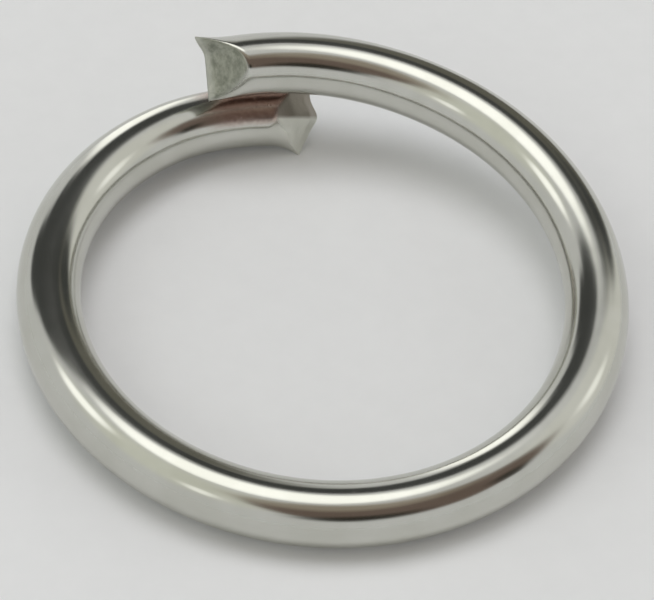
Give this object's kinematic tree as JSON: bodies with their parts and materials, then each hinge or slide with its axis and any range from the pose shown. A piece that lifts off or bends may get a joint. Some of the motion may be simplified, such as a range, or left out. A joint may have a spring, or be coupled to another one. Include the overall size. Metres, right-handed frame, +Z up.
{
  "type": "split key ring",
  "caption": "Split key ring: a single turn of round plated wire with pinched, overlapping ends that spring apart to thread a key.",
  "frame": {"origin": "centre of the ring's bounding box, on the flat surface that the ring lies on", "axes": "+Z up, out of the ring's plane; +Y towards the overlapping ends; -Y towards the front bend opposite them; +X to the side of the upper arm"},
  "size_m": [0.02, 0.02, 0.0046],
  "materials": {
    "nickel_plate": "bright nickel plate on drawn steel wire, polished, with faint draw lines; duller on the pinched ends"
  },
  "bodies": {
    "lower_arm": {"lower_arm": "nickel_plate"},
    "front_bend": {"front_bend": "nickel_plate"},
    "upper_arm": {"upper_arm": "nickel_plate"}
  },
  "joints": [
    {"name": "end_spread", "type": "hinge", "parent": "lower_arm", "child": "front_bend", "pos_m": [-0.00157, -0.00883, 0.00102], "axis": [0.0314, -0.0713, 0.997], "range_deg": [-4, 4], "stiffness_Nm_per_rad": 9},
    {"name": "end_lift", "type": "hinge", "parent": "front_bend", "child": "upper_arm", "pos_m": [0.00154, -0.00883, 0.00106], "axis": [0.985, 0.1711, 0.0239], "range_deg": [-0.8, 10], "stiffness_Nm_per_rad": 5.5}
  ]
}
